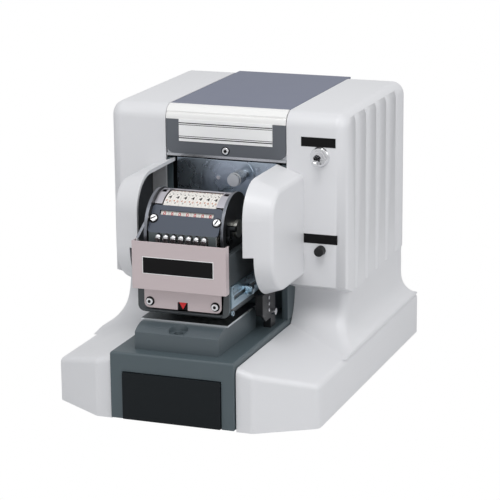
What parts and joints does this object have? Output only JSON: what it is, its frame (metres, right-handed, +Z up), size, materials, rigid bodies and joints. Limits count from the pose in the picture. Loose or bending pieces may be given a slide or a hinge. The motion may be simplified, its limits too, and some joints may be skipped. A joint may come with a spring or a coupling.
{
  "type": "rotary perforator",
  "caption": "Desk-top electric numbering perforator: a sliding head with a row of number wheels over a die, between two moulded side covers.",
  "frame": {"origin": "centre of the footprint, on the table under the rubber feet", "axes": "+Z up, +Y from the operator's side to the back, +X to the operator's right"},
  "size_m": [0.26, 0.368, 0.2745],
  "materials": {
    "white_cover": "smooth satin",
    "bed_paint": "satin enamel",
    "top_paint": "smooth satin",
    "panel_paint": "satin",
    "bright_trim": "polished",
    "die_paint": "satin",
    "die_steel": "ground",
    "black_plastic": "fine matt",
    "tray_plastic": "matt",
    "rubber": "matt",
    "belt_rubber": "matt",
    "inlet_plastic": "matt",
    "chrome": "polished",
    "plated": "bright zinc",
    "ram_steel": "ground and polished",
    "bearing_metal": "turned",
    "pulley_metal": "turned",
    "motor_paint": "satin",
    "head_black": "satin black",
    "drum_metal": "satin",
    "plate_paint": "satin metallic beige",
    "wheel_metal": "light enamel",
    "pin_steel": "ground"
  },
  "bodies": {
    "root": {"frame_casting": "bed_paint", "bottom_plate": "bed_paint", "rubber_feet": "rubber", "cover_left": "white_cover", "cover_right": "white_cover", "top_plate": "top_paint", "front_trim": "bright_trim", "front_panel": "panel_paint", "panel_carrier": "panel_paint", "rear_panel": "panel_paint", "power_inlet": "inlet_plastic", "case_screws": "chrome", "die_block": "die_paint", "die_plate": "die_steel", "ram_gibs": "ram_steel", "main_bearings": "bearing_metal", "motor": "motor_paint", "motor_bracket": "motor_paint", "drive_belt": "belt_rubber", "switch_bushing": "chrome", "start_switch": "inlet_plastic", "gauge_bracket": "head_black"},
    "crank": {"crankshaft": "ram_steel", "flywheel_pulley": "pulley_metal"},
    "motor_rotor": {"motor_pulley": "pulley_metal"},
    "ram": {"ram_block": "ram_steel", "head_frame": "head_black", "side_plate_left": "head_black", "side_plate_right": "head_black", "drum_cover": "drum_metal", "index_plate": "drum_metal", "head_screws": "chrome", "front_plate": "plate_paint", "lower_plate": "plate_paint", "pin_block": "pin_steel", "punch_pins": "pin_steel", "head_shafts": "plated", "scale_plate": "plated"},
    "number_wheel_1": {"number_wheel_1": "wheel_metal"},
    "number_wheel_2": {"number_wheel_2": "wheel_metal"},
    "number_wheel_3": {"number_wheel_3": "wheel_metal"},
    "number_wheel_4": {"number_wheel_4": "wheel_metal"},
    "number_wheel_5": {"number_wheel_5": "wheel_metal"},
    "number_wheel_6": {"number_wheel_6": "wheel_metal"},
    "number_wheel_7": {"number_wheel_7": "wheel_metal"},
    "finger_lever_1": {"finger_lever_1": "chrome"},
    "finger_lever_2": {"finger_lever_2": "chrome"},
    "finger_lever_3": {"finger_lever_3": "chrome"},
    "finger_lever_4": {"finger_lever_4": "chrome"},
    "finger_lever_5": {"finger_lever_5": "chrome"},
    "finger_lever_6": {"finger_lever_6": "chrome"},
    "finger_lever_7": {"finger_lever_7": "chrome"},
    "clamp_knob": {"clamp_knob": "chrome"},
    "gauge_slider": {"gauge_slider": "plated"},
    "side_lever": {"side_lever": "plated"},
    "toggle_lever": {"toggle_lever": "chrome"},
    "start_button": {"start_button": "black_plastic"},
    "drawer": {"chip_drawer": "tray_plastic", "drawer_front": "black_plastic"}
  },
  "joints": [
    {"name": "crank_turn", "type": "hinge", "parent": "root", "child": "crank", "pos_m": [0, 0.028, 0.19], "axis": [0, 1, 0], "range_deg": [0, 180]},
    {"name": "ram_stroke", "type": "slide", "parent": "root", "child": "ram", "axis": [0, 0, -1], "range_m": [0, 0.006]},
    {"name": "motor_turn", "type": "hinge", "parent": "root", "child": "motor_rotor", "pos_m": [0, 0.088, 0.113], "axis": [0, 1, 0], "range_deg": [0, 574]},
    {"name": "wheel_1_turn", "type": "hinge", "parent": "ram", "child": "number_wheel_1", "pos_m": [-0.0225, -0.11, 0.1776], "axis": [1, 0, 0], "continuous": true},
    {"name": "wheel_2_turn", "type": "hinge", "parent": "ram", "child": "number_wheel_2", "pos_m": [-0.015, -0.11, 0.1776], "axis": [1, 0, 0], "continuous": true},
    {"name": "wheel_3_turn", "type": "hinge", "parent": "ram", "child": "number_wheel_3", "pos_m": [-0.0075, -0.11, 0.1776], "axis": [1, 0, 0], "continuous": true},
    {"name": "wheel_4_turn", "type": "hinge", "parent": "ram", "child": "number_wheel_4", "pos_m": [0, -0.11, 0.1776], "axis": [1, 0, 0], "continuous": true},
    {"name": "wheel_5_turn", "type": "hinge", "parent": "ram", "child": "number_wheel_5", "pos_m": [0.0075, -0.11, 0.1776], "axis": [1, 0, 0], "continuous": true},
    {"name": "wheel_6_turn", "type": "hinge", "parent": "ram", "child": "number_wheel_6", "pos_m": [0.015, -0.11, 0.1776], "axis": [1, 0, 0], "continuous": true},
    {"name": "wheel_7_turn", "type": "hinge", "parent": "ram", "child": "number_wheel_7", "pos_m": [0.0225, -0.11, 0.1776], "axis": [1, 0, 0], "continuous": true},
    {"name": "finger_lever_1_tilt", "type": "hinge", "parent": "ram", "child": "finger_lever_1", "pos_m": [-0.0225, -0.145, 0.155], "axis": [1, 0, 0], "range_deg": [0, 8], "stiffness_Nm_per_rad": 0.02, "springref_deg": -11.46},
    {"name": "finger_lever_2_tilt", "type": "hinge", "parent": "ram", "child": "finger_lever_2", "pos_m": [-0.015, -0.145, 0.155], "axis": [1, 0, 0], "range_deg": [0, 8], "stiffness_Nm_per_rad": 0.02, "springref_deg": -11.46},
    {"name": "finger_lever_3_tilt", "type": "hinge", "parent": "ram", "child": "finger_lever_3", "pos_m": [-0.0075, -0.145, 0.155], "axis": [1, 0, 0], "range_deg": [0, 8], "stiffness_Nm_per_rad": 0.02, "springref_deg": -11.46},
    {"name": "finger_lever_4_tilt", "type": "hinge", "parent": "ram", "child": "finger_lever_4", "pos_m": [0, -0.145, 0.155], "axis": [1, 0, 0], "range_deg": [0, 8], "stiffness_Nm_per_rad": 0.02, "springref_deg": -11.46},
    {"name": "finger_lever_5_tilt", "type": "hinge", "parent": "ram", "child": "finger_lever_5", "pos_m": [0.0075, -0.145, 0.155], "axis": [1, 0, 0], "range_deg": [0, 8], "stiffness_Nm_per_rad": 0.02, "springref_deg": -11.46},
    {"name": "finger_lever_6_tilt", "type": "hinge", "parent": "ram", "child": "finger_lever_6", "pos_m": [0.015, -0.145, 0.155], "axis": [1, 0, 0], "range_deg": [0, 8], "stiffness_Nm_per_rad": 0.02, "springref_deg": -11.46},
    {"name": "finger_lever_7_tilt", "type": "hinge", "parent": "ram", "child": "finger_lever_7", "pos_m": [0.0225, -0.145, 0.155], "axis": [1, 0, 0], "range_deg": [0, 8], "stiffness_Nm_per_rad": 0.02, "springref_deg": -11.46},
    {"name": "clamp_knob_turn", "type": "hinge", "parent": "ram", "child": "clamp_knob", "pos_m": [0.018, -0.052, 0.212], "axis": [0, 1, 0], "continuous": true},
    {"name": "gauge_slide", "type": "slide", "parent": "ram", "child": "gauge_slider", "axis": [0, 1, 0], "range_m": [-0.024, 0.014]},
    {"name": "side_lever_tilt", "type": "hinge", "parent": "ram", "child": "side_lever", "pos_m": [0.039, -0.132, 0.173], "axis": [1, 0, 0], "range_deg": [0, 25]},
    {"name": "toggle_tip", "type": "hinge", "parent": "root", "child": "toggle_lever", "pos_m": [0.0945, -0.039, 0.2337], "axis": [1, 0, 0], "range_deg": [-24, 0]},
    {"name": "start_press", "type": "slide", "parent": "root", "child": "start_button", "axis": [0, 1, 0], "range_m": [0, 0.003], "stiffness_N_per_m": 300, "springref_m": -0.003},
    {"name": "drawer_slide", "type": "slide", "parent": "root", "child": "drawer", "axis": [0, -1, 0], "range_m": [0, 0.08]}
  ],
  "couplings": [
    {"joint": "crank_turn", "follows": "ram_stroke", "rad_per_m": 523.6},
    {"joint": "motor_turn", "follows": "ram_stroke", "rad_per_m": 1669}
  ]
}
